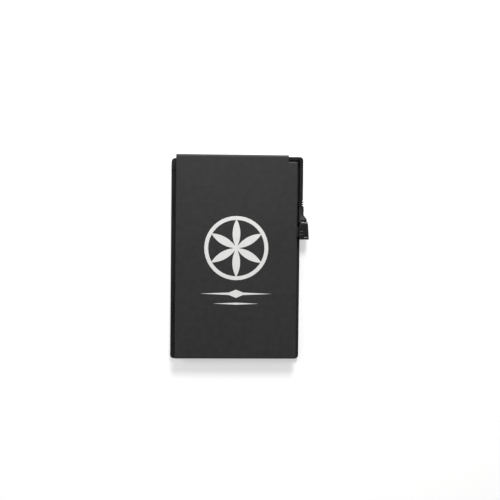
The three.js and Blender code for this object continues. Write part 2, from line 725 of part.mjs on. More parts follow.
// Grip of the plug: a ribbed neck, a straight body, a flare away from the housing and a flange.
function plugGrip() {
  const neck = plugSection(plugSide, LEAD_THICKNESS, LEAD_WIDTH);
  const rib = grown(neck, RIB_DEPTH);
  const body = plugSection(plugSide, GRIP_THICKNESS, GRIP_WIDTH);
  const flange = plugSection(plugSide, FLANGE_THICKNESS, FLANGE_WIDTH);
  const pitch = NECK_LENGTH / NECK_RIBS;
  const flangeEnd = NECK_LENGTH + GRIP_LENGTH;
  const flangeStart = flangeEnd - FLANGE_LENGTH;
  const levels = [];
  for (let i = 0; i < NECK_RIBS; i++) {
    const start = i * pitch;
    const ribEnd = start + pitch - RIB_SLOPE;
    levels.push({ rect: neck, z: start, corner: NECK_CORNER });
    levels.push({ rect: rib, z: start + RIB_SLOPE, corner: NECK_CORNER });
    levels.push({ rect: rib, z: ribEnd - RIB_SLOPE / 2, corner: NECK_CORNER });
    levels.push({ rect: neck, z: ribEnd, corner: NECK_CORNER });
  }
  levels.push({ rect: body, z: NECK_LENGTH + RIB_SLOPE, corner: GRIP_CORNER });
  levels.push({ rect: body, z: flangeStart - FLARE_LENGTH, corner: GRIP_CORNER });
  levels.push({ rect: flange, z: flangeStart, corner: GRIP_CORNER });
  levels.push({ rect: flange, z: flangeEnd - FLANGE_EDGE, corner: GRIP_CORNER });
  levels.push({ rect: grown(flange, -FLANGE_EDGE), z: flangeEnd, corner: GRIP_CORNER });
  add("plug_grip", pointedDown(loft(levels), neckTop), softBlack);
}

// Metal sleeve of the plug with its root ring, open at its end, and the contact tongue inside it.
function plugTip() {
  const sleeve = centred(tipX, leadMiddleZ, TIP_THICKNESS, TIP_WIDTH);
  const bore = grown(sleeve, -TIP_WALL);
  const ring = grown(sleeve, (RING_THICKNESS - TIP_THICKNESS) / 2);
  const tube = cut(
    joined(
      solid(slab(sleeve, 0, TIP_LENGTH, TIP_CORNER)),
      slab(ring, RING_STANDOFF, CAP_GAP - RING_STANDOFF / 4, RING_CORNER),
    ),
    slab(bore, CAP_GAP, TIP_LENGTH + 1, TIP_CORNER - TIP_WALL),
  );
  add("plug_sleeve", pointedDown(geometryOf(tube), gripEnd), steel);
  const tongue = centred(tipX, leadMiddleZ, CONTACT_THICKNESS, TIP_WIDTH - 4 * TIP_WALL);
  const carrier = slab(tongue, CAP_GAP, TIP_LENGTH - 2 * TIP_WALL);
  add("plug_contacts", pointedDown(carrier, gripEnd), contactCarrier);
}

// Cap over the plug: it widens downwards, is grooved to hang on the housing's rail, and has a raised panel,
// four studs and a finger lip on its front.
function plugCap() {
  const section = plugSection(capSide, CAP_THICKNESS, CAP_WIDTH);
  const narrow = plugSection(capSide, CAP_THICKNESS - CAP_TAPER, CAP_WIDTH);
  const block = loft([
    { rect: grown(narrow, -CAP_EDGE), z: 0, corner: CAP_CORNER },
    { rect: narrow, z: CAP_EDGE, corner: CAP_CORNER },
    { rect: section, z: CAP_LENGTH - CAP_EDGE, corner: CAP_CORNER },
    { rect: grown(section, -CAP_EDGE), z: CAP_LENGTH, corner: CAP_CORNER },
  ]);
  const bore = grown(centred(tipX, leadMiddleZ, TIP_THICKNESS, TIP_WIDTH), CAP_BORE_GAP);
  const groove = {
    left: capSide - 1,
    right: housing.right + RAIL_REACH + FIT,
    bottom: leadMiddleZ - RAIL_WIDTH / 2 - FIT,
    top: leadMiddleZ + RAIL_WIDTH / 2 + FIT,
  };
  const grooveHalf = RAIL_LENGTH / 2 + FIT;
  const hollow = cut(
    solid(block),
    slab(bore, -1, capTop - tipEnd + FIT),
    slab(groove, CAP_LENGTH / 2 - grooveHalf, CAP_LENGTH / 2 + grooveHalf),
  );
  const front = leadMiddleZ + CAP_WIDTH / 2;
  const raised = (x, drop, length, width, height) =>
    slab(centred(x, capTop - drop, length, width), front - CAP_EDGE, front + height);
  const panelRight = capSide + CAP_THICKNESS - CAP_TAPER - PANEL_MARGIN;
  const panelX = (capSide + PANEL_ASIDE + panelRight) / 2;
  const panelDrop = PANEL_DROP + PANEL_LENGTH / 2;
  const details = [
    raised(panelX, panelDrop, panelRight - capSide - PANEL_ASIDE, PANEL_LENGTH, PANEL_HEIGHT),
    raised(panelX + CAP_TAPER / 2, LIP_DROP, LIP_LENGTH, LIP_WIDTH, STUD_HEIGHT),
    ...STUD_DROPS.flatMap((drop) =>
      STUD_ASIDES.map((aside) => raised(capSide + aside, drop, STUD_LENGTH, STUD_WIDTH, STUD_HEIGHT)),
    ),
  ];
  const cap = solid(pointedDown(geometryOf(hollow), capTop));
  add("plug_cap", joined(cap, ...details), blackPlastic);
}

// Pouch cell with its sealed terrace, the adhesive foam under it and the cushion above it.
function powerCell() {
  const pouch = softSlab(cell, cellBack, cellFront, CELL_CORNER, CELL_EDGE);
  const terrace = {
    left: cell.left + TERRACE_INSET,
    right: cell.right - TERRACE_INSET,
    bottom: cell.top - 2 * CELL_EDGE,
    top: cell.top + TERRACE_LENGTH,
  };
  const terraceLow = boardTop + TAB_THICKNESS / 2 - TERRACE_THICKNESS / 2;
  const seal = slab(terrace, terraceLow, terraceLow + TERRACE_THICKNESS);
  add("power_cell", joined(solid(pouch), seal), foil);
  add("cell_tape", slab(grown(cell, -CELL_PAD_INSET), innerFloor, cellBack), foam);
  add("cell_cushion", slab(grown(cell, -CUSHION_INSET), cellFront, innerCeiling), foam);
  TAB_ASIDES.forEach((aside, i) => {
    const tab = {
      left: cell.left + aside - TAB_WIDTH / 2,
      right: cell.left + aside + TAB_WIDTH / 2,
      bottom: terrace.top,
      top: board.bottom + TAB_ON_BOARD,
    };
    add("cell_tab_" + (i + 1), slab(tab, boardTop, boardTop + TAB_THICKNESS), nickel);
  });
}

function circuitBoard() {
  const holes = postPlaces.map(([x, y]) => peg(x, y, PIN_RADIUS + FIT, boardBack - 1, boardTop + 1));
  add("circuit_board", cut(solid(slab(board, boardBack, boardTop)), ...holes), boardGreen);
}

// Parts soldered flat on the board: name, middle in X and above the board's lower edge, size and finish.
const boardParts = [
  ["charge_chip", -4.0, 6.6, 5.0, 5.0, 0.9, chipBlack],
  ["guard_chip", -20.0, 6.2, 3.0, 3.0, 1.1, chipBlack],
  ["boost_inductor", 3.6, 6.6, 6.6, 6.6, 3.0, ferrite],
  ["input_capacitor", -10.4, 7.0, 3.2, 1.6, 1.6, capacitorTan],
  ["output_capacitor", 10.2, 5.6, 3.2, 2.5, 1.8, capacitorTan],
];

function solderedParts() {
  boardParts.forEach(([name, x, up, width, depth, height, material]) => {
    const place = centred(x, board.bottom + up, width, depth);
    add(name, softSlab(place, boardTop, boardTop + height, 2 * CHIP_EDGE, CHIP_EDGE), material);
  });
}

// Charging input socket, which fills the opening in the top wall.
function inputSocket() {
  const middleZ = boardTop + SOCKET_HEIGHT / 2;
  const outer = centred(SOCKET_X, middleZ, SOCKET_WIDTH, SOCKET_HEIGHT);
  const round = SOCKET_HEIGHT / 2 - 0.35;
  const body = solid(slab(outer, 0, SOCKET_DEPTH, round));
  const mouth = slab(grown(outer, -SOCKET_WALL), -1, SOCKET_DEPTH - SOCKET_BACK, round - SOCKET_WALL);
  add("input_socket", pointedDown(geometryOf(cut(body, mouth)), socketMouth), steel);
  const blade = centred(SOCKET_X, middleZ, SOCKET_TONGUE_WIDTH, SOCKET_TONGUE_THICKNESS);
  const root = SOCKET_DEPTH - SOCKET_BACK;
  const tongue = slab(blade, root - SOCKET_TONGUE_REACH, root);
  add("socket_tongue", pointedDown(tongue, socketMouth), contactCarrier);
}

const ledXs = Array.from({ length: LED_COUNT }, (_, i) => LED_FIRST_X + i * LED_PITCH);

// Four indicator lamps behind one clear light guide, whose round ends show in the top wall.
function indicators() {
  const bar = {
    left: ledXs[0] - GUIDE_OVERHANG,
    right: ledXs[LED_COUNT - 1] + GUIDE_OVERHANG,
    bottom: guideFront - GUIDE_BAR,
    top: guideFront,
  };
  const ends = ledXs.map((x) =>
    barAlongY(x, windowZ, WINDOW_RADIUS, bar.bottom + GUIDE_BAR / 2, housing.top - WINDOW_RECESS),
  );
  const guide = joined(solid(slab(bar, boardTop, boardTop + GUIDE_HEIGHT)), ...ends);
  add("light_guide", guide, clearGuide);
  const ledY = bar.bottom - GUIDE_GAP - LED_DEPTH / 2;
  ledXs.forEach((x, i) => {
    const lamp = centred(x, ledY, LED_WIDTH, LED_DEPTH);
    add("indicator_led_" + (i + 1), slab(lamp, boardTop, boardTop + LED_HEIGHT), ledWhite);
  });
}

// Side-pushed switch, its plunger and the flush button in the top wall.
function powerSwitch() {
  const body = {
    left: BUTTON_X - SWITCH_WIDTH / 2,
    right: BUTTON_X + SWITCH_WIDTH / 2,
    bottom: switchFront - SWITCH_DEPTH,
    top: switchFront,
  };
  const plungerLow = buttonZ - PLUNGER_HEIGHT / 2;
  const plungerHigh = buttonZ + PLUNGER_HEIGHT / 2;
  const well = {
    left: BUTTON_X - PLUNGER_WIDTH / 2 - FIT,
    right: BUTTON_X + PLUNGER_WIDTH / 2 + FIT,
    bottom: switchFront - PLUNGER_SUNK - PLUNGER_ROOM,
    top: switchFront + 1,
  };
  const block = solid(softSlab(body, boardTop, boardTop + SWITCH_HEIGHT, 0.3, 0.15));
  add("tact_switch", cut(block, slab(well, plungerLow - FIT, plungerHigh + FIT)), chipBlack);
  const plunger = {
    left: BUTTON_X - PLUNGER_WIDTH / 2,
    right: BUTTON_X + PLUNGER_WIDTH / 2,
    bottom: switchFront - PLUNGER_SUNK,
    top: flangeBack,
  };
  add("switch_plunger", slab(plunger, plungerLow, plungerHigh), blackPlastic);
  const flange = centred(
    BUTTON_X,
    (flangeBack + flangeFront) / 2,
    BUTTON_WIDTH + 2 * BUTTON_LIP,
    BUTTON_FLANGE,
  );
  const buttonLow = buttonZ - BUTTON_HEIGHT / 2;
  const buttonHigh = buttonZ + BUTTON_HEIGHT / 2;
  const flangeSlab = slab(flange, boardTop + FIT, buttonHigh + BUTTON_LIP);
  const capSection = centred(BUTTON_X, -(buttonLow + buttonHigh) / 2, BUTTON_WIDTH, BUTTON_HEIGHT);
  const capReach = housing.top - BUTTON_RECESS - flangeFront + BUTTON_FLANGE / 2;
  const cap = loft([
    { rect: capSection, z: 0, corner: 0.6 },
    { rect: capSection, z: capReach - 0.2, corner: 0.6 },
    { rect: grown(capSection, -0.2), z: capReach, corner: 0.4 },
  ])
    .rotateX(-Math.PI / 2)
    .translate(0, flangeFront - BUTTON_FLANGE / 2, 0);
  add("power_button", joined(solid(flangeSlab), cap), blackPlastic);
}

adhesivePad();
pocketTray();
bondTape();
rearShell();
frontCover();
facePrint();
chargingLead();
leadWires();
plugGrip();
plugTip();
plugCap();
powerCell();
circuitBoard();
solderedParts();
inputSocket();
indicators();
powerSwitch();

export default holder;
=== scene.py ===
import json
import math

import bmesh
import bpy
from mathutils import Matrix, Vector


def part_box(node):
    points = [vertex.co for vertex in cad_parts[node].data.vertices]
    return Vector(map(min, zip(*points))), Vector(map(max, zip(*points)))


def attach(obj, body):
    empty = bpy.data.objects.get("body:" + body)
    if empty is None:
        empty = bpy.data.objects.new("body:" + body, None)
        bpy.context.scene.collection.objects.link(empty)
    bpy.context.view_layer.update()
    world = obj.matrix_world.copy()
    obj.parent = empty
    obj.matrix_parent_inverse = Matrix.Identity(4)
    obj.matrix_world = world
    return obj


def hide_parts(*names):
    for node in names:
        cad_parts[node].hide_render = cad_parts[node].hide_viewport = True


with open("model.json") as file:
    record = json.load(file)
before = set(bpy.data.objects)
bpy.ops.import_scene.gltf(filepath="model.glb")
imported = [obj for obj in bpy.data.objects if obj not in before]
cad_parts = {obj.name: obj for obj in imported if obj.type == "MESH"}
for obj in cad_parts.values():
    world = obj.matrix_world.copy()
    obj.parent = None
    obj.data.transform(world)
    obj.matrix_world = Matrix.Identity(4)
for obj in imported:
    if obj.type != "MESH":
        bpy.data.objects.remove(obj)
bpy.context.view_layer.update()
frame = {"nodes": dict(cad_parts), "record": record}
nodes = frame["nodes"]

MM = 0.001


def limits(solid):
    """The lowest and the highest corner of a solid in the frame, in millimetres and rounded."""
    return [[round(value / MM, 4) for value in corner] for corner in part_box(solid)]


# Lead and plug, in millimetres, placed from the limits of their solids
# The fold, the ribs' lean, the strip, the boot and the rounded edges are added here to the solids' shape
(COLLAR_LEFT, NECK_TOP, COLLAR_LOW), (LEAD_RIGHT, LEAD_TOP, LEAD_HIGH) = limits("charging_lead")
(RIB_LEFT, GRIP_END, FLANGE_LOW), (FLANGE_RIGHT, _, FLANGE_HIGH) = limits("plug_grip")
(RING_LEFT, _, RING_LOW), (RING_RIGHT, _, RING_HIGH) = limits("plug_sleeve")
(CAP_LEFT, CAP_END, CAP_LOW), (CAP_RIGHT, CAP_TOP, FRONT_TOP) = limits("plug_cap")
LEAD_THICKNESS = 1.6
LEAD_WIDTH = 4.4
LEAD_LEFT = LEAD_RIGHT - LEAD_THICKNESS
LEAD_LOW = LEAD_HIGH - LEAD_WIDTH
LEAD_BOTTOM = LEAD_TOP - LEAD_THICKNESS
LEAD_START = COLLAR_LEFT + 0.5
LEAD_ROUND = 0.4
ELBOW_CUT = 1.2
ELBOW_ROUND = 0.3
FOLD_LENGTH = 4.6
FOLD_RISE = 0.32
FOLD_WIDTH = 0.7
FOLD_INSET = 0.15
FOLD_ABOVE = 0.2
FOLD_SUNK = 0.5
FOLD_FOOT_SUNK = 0.1
FOLD_TURN_X = -0.7
FOLD_TURN_Y = 1.0
FOLD_ROUND = 0.06
COLLAR_RIGHT = COLLAR_LEFT + 2.0
COLLAR_BOTTOM = LEAD_BOTTOM - 1.0
COLLAR_TOP = LEAD_TOP - 0.8
COLLAR_HIGH = COLLAR_LOW + LEAD_WIDTH
COLLAR_ROUND = 0.15
NECK_START = 0.06
NECK_LENGTH = 2.85
NECK_RIBS = 3
RIB_DEPTH = LEAD_LEFT - RIB_LEFT
RIB_SLOPE = 0.24
RIB_LOWER_SLOPE = 0.6 * RIB_SLOPE
RIB_LEAN = 14.0
DIP_DEPTH = 0.35
STRIP_WIDTH = 0.45
STRIP_DROP = 0.15
GRIP_SWELL = 0.4
GRIP_RIGHT = LEAD_RIGHT + GRIP_SWELL
GRIP_LOW = LEAD_LOW - GRIP_SWELL
GRIP_HIGH = LEAD_HIGH + GRIP_SWELL
GRIP_ROUND = 0.4
GRIP_EDGE = 0.1
FLARE_START = GRIP_END + 2.8
FLANGE_START = GRIP_END + 0.7
FLANGE_STEP = 0.02
CAP_HIGH = FRONT_TOP - 0.25
CAP_TAPER = 0.5
CAP_ROUND = 0.6
CAP_EDGE = 0.16
CAP_RIM = 0.3
PLUG_X = (CAP_LEFT + CAP_RIGHT) / 2
PLUG_Z = (CAP_LOW + CAP_HIGH) / 2
BORE_LEFT = PLUG_X - 1.45
BORE_RIGHT = PLUG_X + 1.45
BORE_LOW = PLUG_Z - 2.95
BORE_HIGH = PLUG_Z + 2.95
BORE_DEPTH = 5.7
GROOVE_DEPTH = 0.65
GROOVE_LOW = PLUG_Z - 1.5
GROOVE_HIGH = PLUG_Z + 1.5
GROOVE_BOTTOM = CAP_END + 1.0
GROOVE_TOP = CAP_TOP - 1.0
GROOVE_INSET = 0.2
SUNK_TO = CAP_HIGH - 0.3
PANEL_LEFT = CAP_LEFT + 2.45
PANEL_RIGHT = CAP_RIGHT - 0.9
PANEL_LOW_Y = CAP_END + 1.7
PANEL_HIGH_Y = CAP_TOP - 0.5
PANEL_FRONT = CAP_HIGH + 0.15
PANEL_ROUND = 0.08
STUD_XS = (CAP_LEFT + 0.75, CAP_LEFT + 1.65)
STUD_YS = (CAP_END + 3.95, CAP_END + 2.45)
STUD_LENGTH = 0.55
STUD_WIDTH = 0.4
STUD_ROUND = 0.19
LIP_LEFT = CAP_LEFT + 2.55
LIP_RIGHT = CAP_RIGHT - 0.5
LIP_LOW_Y = CAP_END + 0.68
LIP_HIGH_Y = CAP_END + 1.32
LIP_ROUND = 0.12
RING_TOP = GRIP_END - 0.4
RING_BOTTOM = CAP_TOP + 0.1
RING_ROUND = 0.2
RING_SHORTER = 0.35
SLEEVE_EDGE = 0.05
BOOT_DEPTH = 0.6
BOOT_LEFT = RING_LEFT + 0.5
BOOT_RIGHT = RING_RIGHT - 0.55
BOOT_LOW = RING_LOW + 0.5
BOOT_HIGH = RING_HIGH - 0.5

# Camera, in millimetres and degrees, from the places of the corners in the picture
CAMERA_DISTANCE = 600.0
CAMERA_LENS = 87.81
CAMERA_SENSOR = 36.0
CAMERA_TURNS = (2.501, 3.71, -0.443)
CAMERA_ASIDE = (-7.364, -4.245)


# Selecting and shaping

def only(piece):
    """Selects one piece and nothing else."""
    bpy.ops.object.select_all(action="DESELECT")
    piece.select_set(True)
    bpy.context.view_layer.objects.active = piece


def block(name, low, high):
    """A box between two corners given in millimetres, with its place in its mesh."""
    centre = [(a + b) / 2 * MM for a, b in zip(low, high)]
    size = [(b - a) * MM for a, b in zip(low, high)]
    bpy.ops.object.select_all(action="DESELECT")
    bpy.ops.mesh.primitive_cube_add(size=1, location=centre, scale=size)
    piece = bpy.context.active_object
    piece.name = name
    bpy.ops.object.transform_apply(location=True, rotation=True, scale=True)
    return piece


def edit(piece):
    """Opens one piece for editing."""
    only(piece)
    bpy.ops.object.mode_set(mode="EDIT")


def close():
    """Ends editing."""
    bpy.ops.object.mode_set(mode="OBJECT")


def pick(piece, kind, test):
    """Selects the corners, edges or faces that pass a test on their middle and their direction."""
    mesh = bmesh.from_edit_mesh(piece.data)
    bpy.ops.mesh.select_mode(type=kind)
    bpy.ops.mesh.select_all(action="DESELECT")
    items = {"VERT": mesh.verts, "EDGE": mesh.edges, "FACE": mesh.faces}[kind]
    for item in items:
        if kind == "VERT":
            chosen = test(item.co / MM)
        elif kind == "EDGE":
            first, second = (corner.co for corner in item.verts)
            chosen = test((first + second) / 2 / MM, (second - first).normalized())
        else:
            chosen = test(item.calc_center_median() / MM, item.normal)
        if chosen:
            item.select_set(True)
    mesh.select_flush_mode()
    bmesh.update_edit_mesh(piece.data)


def near(value, target, play=0.02):
    """Whether a place in millimetres is the wanted one."""
    return abs(value - target) < play


def pick_upright(piece, x, y):
    """Selects the edges that run along Z at a place."""
    pick(piece, "EDGE", lambda place, way: abs(way.z) > 0.9 and near(place.x, x) and near(place.y, y))


def pick_lengthwise(piece, x, z):
    """Selects the edges that run along Y at a place."""
    pick(piece, "EDGE", lambda place, way: abs(way.y) > 0.9 and near(place.x, x) and near(place.z, z))


def pull(x=0.0, y=0.0, z=0.0):
    """Extrudes what is selected by an amount in millimetres."""
    bpy.ops.mesh.extrude_region_move(TRANSFORM_OT_translate={"value": (x * MM, y * MM, z * MM)})


def shift(x=0.0, y=0.0, z=0.0):
    """Moves what is selected by an amount in millimetres."""
    bpy.ops.transform.translate(value=(x * MM, y * MM, z * MM))


def scaled(ratio, middle):
    """Scales what is selected about a point in millimetres."""
    bpy.ops.transform.resize(value=ratio, center_override=[c * MM for c in middle])


def lean(degrees, x, y):
    """Turns what is selected about a line along Z at a place in millimetres."""
    centre = (x * MM, y * MM, 0.0)
    bpy.ops.transform.rotate(value=math.radians(degrees), orient_axis="Z", center_override=centre)


def rounded(width, segments, profile=0.5):
    """Rounds the selected edges by a width in millimetres."""
    bpy.ops.mesh.bevel(offset=width * MM, segments=segments, profile=profile, affect="EDGES")


def softened(piece, width, segments=3, limit=30.0):
    """Rounds the sharp edges of a piece by a width in millimetres."""
    only(piece)
    edge = piece.modifiers.new("Soft edges", "BEVEL")
    edge.width = width * MM
    edge.segments = segments
    edge.limit_method = "ANGLE"
    edge.angle_limit = math.radians(limit)
    edge.miter_outer = "MITER_ARC"
    bpy.ops.object.modifier_apply(modifier=edge.name)


def smoothed(piece, angle=35.0):
    """Shades a piece smooth, apart from its sharp edges, and keeps its flat faces flat."""
    only(piece)
    bpy.ops.object.shade_smooth_by_angle(angle=math.radians(angle))
    level = piece.modifiers.new("Flat faces", "WEIGHTED_NORMAL")
    level.weight = 100
    level.keep_sharp = True
    bpy.ops.object.modifier_apply(modifier=level.name)


def merged(piece):
    """Merges doubles and joins the flat triangles of a piece into whole faces."""
    edit(piece)
    bpy.ops.mesh.select_all(action="SELECT")
    bpy.ops.mesh.remove_doubles(threshold=0.002 * MM)
    bpy.ops.mesh.dissolve_limited(angle_limit=math.radians(0.6))
    close()


def placed(piece, body, replaced):
    """Puts a piece on its body, in the place of its solids."""
    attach(piece, body)
    if replaced:
        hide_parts(*replaced)


def refined(node, name, width, segments=3, limit=30.0):
    """A copy of a solid's mesh with its sharp edges rounded."""
    piece = bpy.data.objects.new(name, nodes[node].data.copy())
    bpy.context.scene.collection.objects.link(piece)
    merged(piece)
    softened(piece, width, segments, limit)
    smoothed(piece)
    return piece


# Node trees

MIX_FACTOR, MIX_FIRST, MIX_SECOND, MIX_OUT = 0, 6, 7, 2


def node(tree, kind, x, y, **settings):
    """Adds a node at a place in its tree."""
    made = tree.nodes.new(kind)
    made.location = (x, y)
    for name, value in settings.items():
        setattr(made, name, value)
    return made


def wire(tree, start, end):
    """Links two sockets."""
    tree.links.new(start, end)


def noise(tree, x, y, vector, detail=2.0, rough=0.5, distortion=0.0):
    """Noise texture on a vector; its scale is left to the caller."""
    made = node(tree, "ShaderNodeTexNoise", x, y)
    made.inputs["Detail"].default_value = detail
    made.inputs["Roughness"].default_value = rough
    made.inputs["Distortion"].default_value = distortion
    wire(tree, vector, made.inputs["Vector"])
    return made


def ranged(tree, x, y, value, low, high, to_low=0.0, to_high=1.0):
    """Maps a value from one range to another."""
    made = node(tree, "ShaderNodeMapRange", x, y)
    made.inputs["From Min"].default_value = low
    made.inputs["From Max"].default_value = high
    made.inputs["To Min"].default_value = to_low
    made.inputs["To Max"].default_value = to_high
    wire(tree, value, made.inputs["Value"])
    return made


def sum_of(tree, x, y, operation, first, second):
    """Arithmetic on two sockets, or on a socket and a number."""
    made = node(tree, "ShaderNodeMath", x, y, operation=operation)
    for place, value in enumerate((first, second)):
        if isinstance(value, float):
            made.inputs[place].default_value = value
        else:
            wire(tree, value, made.inputs[place])
    return made.outputs[0]


def colour_mix(tree, x, y, factor, first, second):
    """Mixes two colours; each is a socket or a colour."""
    made = node(tree, "ShaderNodeMix", x, y, data_type="RGBA")
    wire(tree, factor, made.inputs[MIX_FACTOR])
    for place, value in ((MIX_FIRST, first), (MIX_SECOND, second)):
        if isinstance(value, (tuple, list)):
            made.inputs[place].default_value = (*value, 1.0)
        else:
            wire(tree, value, made.inputs[place])
    return made.outputs[MIX_OUT]


def new_group(name, inputs, outputs):
    """An empty node group with its sockets, and its ends."""
    group = bpy.data.node_groups.new(name, "ShaderNodeTree")
    for label, kind, value in inputs:
        socket = group.interface.new_socket(name=label, in_out="INPUT", socket_type=kind)
        socket.default_value = value
    for label, kind in outputs:
        group.interface.new_socket(name=label, in_out="OUTPUT", socket_type=kind)
    start = node(group, "NodeGroupInput", -900, 0)
    end = node(group, "NodeGroupOutput", 700, 0)
    return group, start, end


FLOAT, COLOUR = "NodeSocketFloat", "NodeSocketColor"


def shaded(group, x, tone, start, end):
    """Turns a tone into a group's colour and roughness."""
    shades = (start.outputs["Dark Colour"], start.outputs["Light Colour"])
    wire(group, colour_mix(group, x, 200, tone, *shades), end.inputs["Colour"])
    gloss = node(group, "ShaderNodeMapRange", x, -100)
    wire(group, tone, gloss.inputs["Value"])
    wire(group, start.outputs["Smooth"], gloss.inputs["To Min"])
    wire(group, start.outputs["Rough"], gloss.inputs["To Max"])
    wire(group, gloss.outputs["Result"], end.inputs["Roughness"])


def moulded_grain():
    """Fine grain and faint mottling of a moulded or coated surface."""
    group, start, end = new_group(
        "Moulded grain",
        [
            ("Light Colour", COLOUR, (0.5, 0.5, 0.5, 1.0)),
            ("Dark Colour", COLOUR, (0.2, 0.2, 0.2, 1.0)),
            ("Grain", FLOAT, 3000.0),
            ("Smooth", FLOAT, 0.45),
            ("Rough", FLOAT, 0.6),
        ],
        [("Colour", COLOUR), ("Roughness", FLOAT), ("Height", FLOAT)],
    )
    place = node(group, "ShaderNodeTexCoord", -900, -300).outputs["Object"]
    fine = noise(group, -500, 200, place, detail=3.0, rough=0.6)
    wire(group, start.outputs["Grain"], fine.inputs["Scale"])
    patches = noise(group, -500, -100, place, detail=4.0, rough=0.55)
    wire(group, sum_of(group, -700, -100, "MULTIPLY", start.outputs["Grain"], 0.14), patches.inputs["Scale"])
    broad = noise(group, -500, -400, place, detail=2.0, rough=0.5)
    broad.inputs["Scale"].default_value = 34.0
    both = sum_of(group, -280, -100, "MULTIPLY_ADD", patches.outputs["Fac"], 0.55)
    share = sum_of(group, -280, -300, "MULTIPLY", broad.outputs["Fac"], 0.25)
    wire(group, share, both.node.inputs[2])
    speckle = sum_of(group, -100, -100, "MULTIPLY_ADD", fine.outputs["Fac"], 0.2)
    wire(group, both, speckle.node.inputs[2])
    tone = ranged(group, 80, -100, speckle, 0.36, 0.64)
    shaded(group, 300, tone.outputs["Result"], start, end)
    wire(group, fine.outputs["Fac"], end.inputs["Height"])
    return group


def handling_marks():
    """Broad soft smudges where fingers have polished a surface, as a mask."""
    group, start, end = new_group("Handling marks", [("Amount", FLOAT, 0.5)], [("Mask", FLOAT)])
    place = node(group, "ShaderNodeTexCoord", -900, -300).outputs["Object"]
    cloud = noise(group, -500, 0, place, detail=3.0, rough=0.6, distortion=0.6)
    cloud.inputs["Scale"].default_value = 46.0
    streak = noise(group, -500, -300, place, detail=4.0, rough=0.65, distortion=1.2)
    streak.inputs["Scale"].default_value = 190.0
    soft = ranged(group, -280, 0, cloud.outputs["Fac"], 0.46, 0.72)
    thin = ranged(group, -280, -300, streak.outputs["Fac"], 0.42, 0.62)
    both = sum_of(group, -60, -100, "MULTIPLY", soft.outputs["Result"], thin.outputs["Result"])
    wire(group, sum_of(group, 160, 0, "MULTIPLY", both, start.outputs["Amount"]), end.inputs["Mask"])
    return group


def dust_specks():
    """Sparse tiny pale specks, as a mask."""
    group, start, end = new_group("Dust specks", [("Amount", FLOAT, 0.5)], [("Mask", FLOAT)])
    place = node(group, "ShaderNodeTexCoord", -900, -300).outputs["Object"]
    cells = node(group, "ShaderNodeTexVoronoi", -500, 0)
    cells.inputs["Scale"].default_value = 620.0
    wire(group, place, cells.inputs["Vector"])
    thin = noise(group, -500, -300, place, detail=2.0)
    thin.inputs["Scale"].default_value = 260.0
    speck = ranged(group, -280, 0, cells.outputs["Distance"], 0.10, 0.05)
    rare = ranged(group, -280, -300, thin.outputs["Fac"], 0.60, 0.66)
    both = sum_of(group, -60, -100, "MULTIPLY", speck.outputs["Result"], rare.outputs["Result"])
    wire(group, sum_of(group, 160, 0, "MULTIPLY", both, start.outputs["Amount"]), end.inputs["Mask"])
    return group


def drawn_lines():
    """Fine lines along one direction that rolling or drawing leaves on metal."""
    group, start, end = new_group(
        "Drawn lines",
        [
            ("Light Colour", COLOUR, (0.6, 0.6, 0.6, 1.0)),
            ("Dark Colour", COLOUR, (0.4, 0.4, 0.4, 1.0)),
            ("Smooth", FLOAT, 0.2),
            ("Rough", FLOAT, 0.4),
        ],
        [("Colour", COLOUR), ("Roughness", FLOAT), ("Height", FLOAT)],
    )
    place = node(group, "ShaderNodeTexCoord", -900, -300).outputs["Object"]
    stretch = node(group, "ShaderNodeMapping", -700, -300)
    stretch.inputs["Scale"].default_value = (9000.0, 260.0, 9000.0)
    wire(group, place, stretch.inputs["Vector"])
    lines = noise(group, -450, 0, stretch.outputs["Vector"], detail=3.0, rough=0.6)
    lines.inputs["Scale"].default_value = 1.0
    tone = ranged(group, -200, 0, lines.outputs["Fac"], 0.35, 0.65)
    shaded(group, 100, tone.outputs["Result"], start, end)
    wire(group, lines.outputs["Fac"], end.inputs["Height"])
    return group


GRAIN = moulded_grain()
MARKS = handling_marks()
DUST = dust_specks()
LINES = drawn_lines()


def placed_group(tree, group, x, y, **values):
    """A group in a material, with its own values."""
    made = node(tree, "ShaderNodeGroup", x, y, node_tree=group)
    for label, value in values.items():
        socket = made.inputs[label.replace("_", " ")]
        socket.default_value = (*value, 1.0) if isinstance(value, tuple) else value
    return made


def blank(name):
    """A material with nothing but its shader."""
    material = bpy.data.materials.new(name)
    material.use_nodes = True
    tree = material.node_tree
    shader = tree.nodes["Principled BSDF"]
    shader.location = (600, 0)
    tree.nodes["Material Output"].location = (900, 0)
    return material, tree, shader


def bumped(tree, shader, height, strength, distance):
    """Raises a height on the shader's normal, by a distance in millimetres."""
    bump = node(tree, "ShaderNodeBump", 350, -350)
    bump.inputs["Strength"].default_value = strength
    bump.inputs["Distance"].default_value = distance * MM
    wire(tree, height, bump.inputs["Height"])
    wire(tree, bump.outputs["Normal"], shader.inputs["Normal"])


